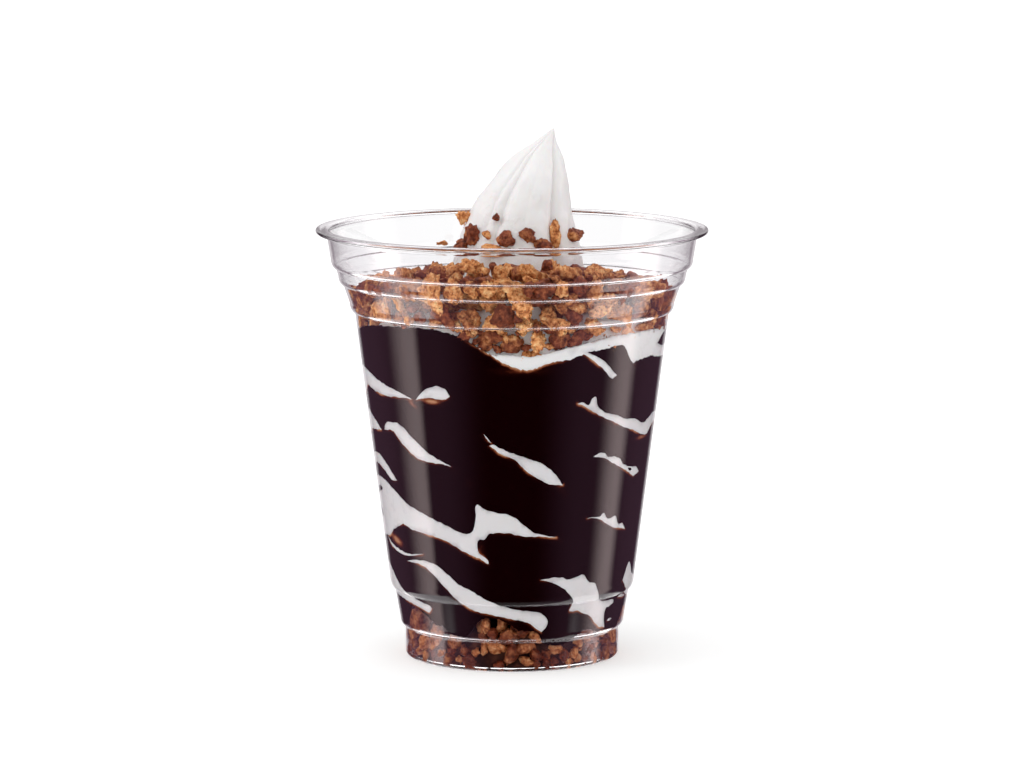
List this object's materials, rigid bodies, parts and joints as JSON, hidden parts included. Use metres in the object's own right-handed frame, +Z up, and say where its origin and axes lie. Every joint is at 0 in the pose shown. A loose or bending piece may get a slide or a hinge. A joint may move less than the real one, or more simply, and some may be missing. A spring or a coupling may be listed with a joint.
{
  "type": "ice cream cup",
  "caption": "Blended ice cream in a clear ribbed cup: crunch at the foot, chocolate sauce streaked with soft serve, a heap of crunch round a piped peak above the rim.",
  "frame": {"origin": "centre of the cup's foot, on the surface that it stands on", "axes": "+Z up along the cup's axis, -Y towards the front, where the pictured side is; the peak's tip leans to +X"},
  "size_m": [0.0978, 0.098, 0.1327],
  "materials": {
    "clear_plastic": "clear and glossy",
    "toasted_crunch": "toasted, porous on broken faces and smoother on dark baked ones",
    "chocolate": "wet, nearly black where thick and red-brown at thin edges",
    "cream": "smooth and slightly wet"
  },
  "bodies": {
    "root": {"cup": "clear_plastic", "base_crunch": "toasted_crunch", "chocolate_sauce": "chocolate", "soft_serve": "cream", "top_crunch": "toasted_crunch"}
  },
  "joints": []
}
